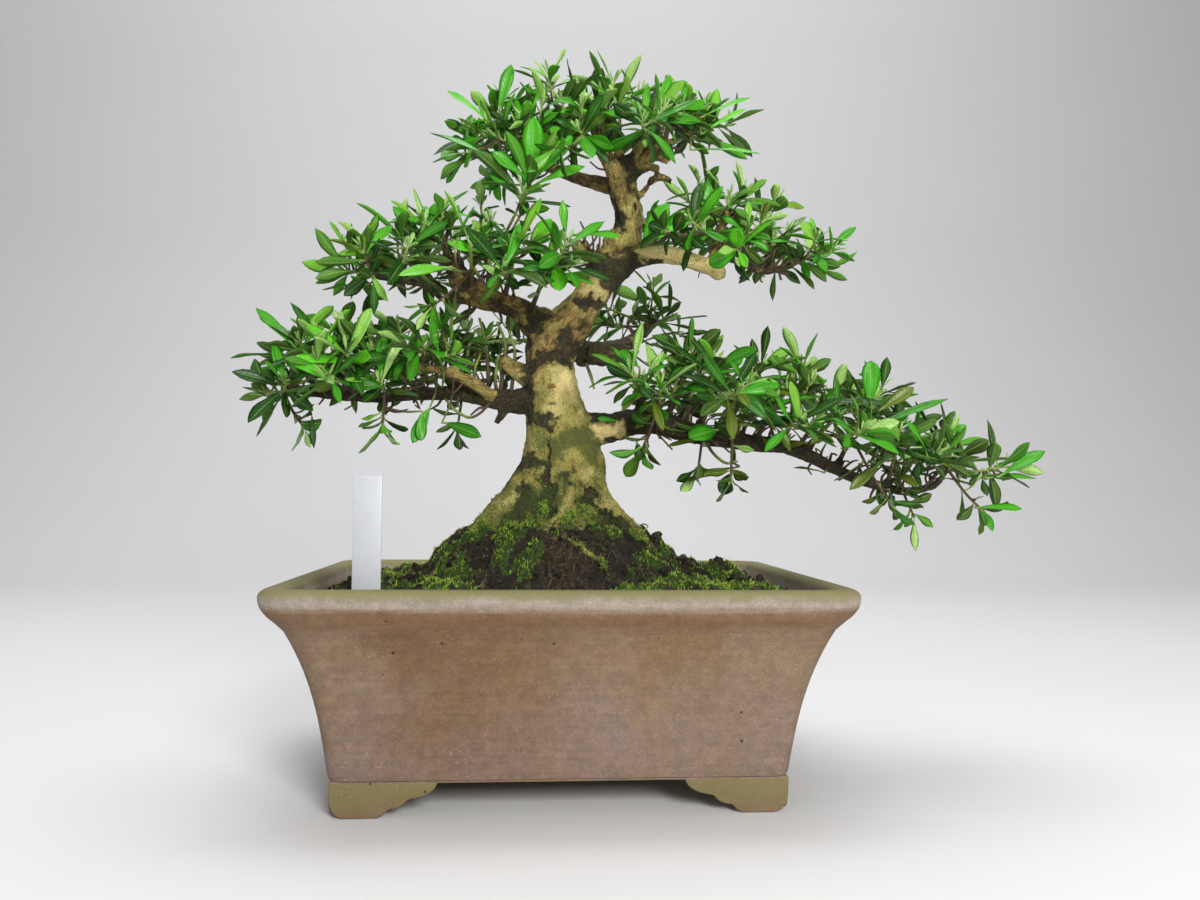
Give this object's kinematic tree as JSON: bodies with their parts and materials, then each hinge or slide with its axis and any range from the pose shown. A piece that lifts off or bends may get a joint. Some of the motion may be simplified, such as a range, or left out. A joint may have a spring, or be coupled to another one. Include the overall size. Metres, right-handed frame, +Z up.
{
  "type": "satsuki azalea bonsai",
  "caption": "Potted dwarf tree with a flared trunk, layered pads of narrow pointed leaves, a mossy soil mound and a rectangular stoneware pot on four corner feet.",
  "frame": {"origin": "on the surface the pot stands on, under the middle of the whole object's box", "axes": "+X to the right along the pot's long side and the long lower branch, -Y towards the viewer of the front, +Z up"},
  "size_m": [0.493, 0.241, 0.4465],
  "materials": {
    "stoneware": "unglazed, matt, grey-brown with a greenish bloom on the lip and feet",
    "soil": "dark damp potting soil with moss",
    "label": "smooth white plastic, bare",
    "screen": "black plastic mesh",
    "bark": "pale tan bark with dark rough patches",
    "foliage": "leathery green leaves, glossy above and duller below"
  },
  "bodies": {
    "root": {"pot": "stoneware", "soil": "soil", "plant_label": "label", "drain_screen_left": "screen", "drain_screen_right": "screen", "wood": "bark", "spray_lower_right_1": "foliage", "spray_lower_right_2": "foliage", "spray_lower_right_3": "foliage", "spray_lower_right_4": "foliage", "spray_lower_right_5": "foliage", "spray_lower_right_6": "foliage", "spray_lower_right_7": "foliage", "spray_lower_right_8": "foliage", "spray_lower_right_9": "foliage", "spray_lower_right_10": "foliage", "spray_lower_right_11": "foliage", "spray_lower_right_12": "foliage", "spray_lower_right_13": "foliage", "spray_lower_right_14": "foliage", "spray_lower_left_1": "foliage", "spray_lower_left_2": "foliage", "spray_lower_left_3": "foliage", "spray_lower_left_4": "foliage", "spray_lower_left_5": "foliage", "spray_lower_left_6": "foliage", "spray_lower_left_7": "foliage", "spray_lower_left_8": "foliage", "spray_lower_left_9": "foliage", "spray_lower_left_10": "foliage", "spray_lower_left_11": "foliage", "spray_mid_left_1": "foliage", "spray_mid_left_2": "foliage", "spray_mid_left_3": "foliage", "spray_mid_left_4": "foliage", "spray_mid_left_5": "foliage", "spray_mid_left_6": "foliage", "spray_mid_left_7": "foliage", "spray_mid_left_8": "foliage", "spray_mid_left_9": "foliage", "spray_mid_right_1": "foliage", "spray_mid_right_2": "foliage", "spray_mid_right_3": "foliage", "spray_mid_right_4": "foliage", "spray_mid_right_5": "foliage", "spray_mid_right_6": "foliage", "spray_mid_right_7": "foliage", "spray_back_1": "foliage", "spray_apex_1": "foliage", "spray_apex_2": "foliage", "spray_apex_3": "foliage", "spray_apex_4": "foliage", "spray_apex_5": "foliage", "spray_apex_6": "foliage", "spray_apex_7": "foliage", "spray_apex_8": "foliage", "spray_apex_9": "foliage", "spray_apex_10": "foliage", "spray_apex_11": "foliage"}
  },
  "joints": []
}
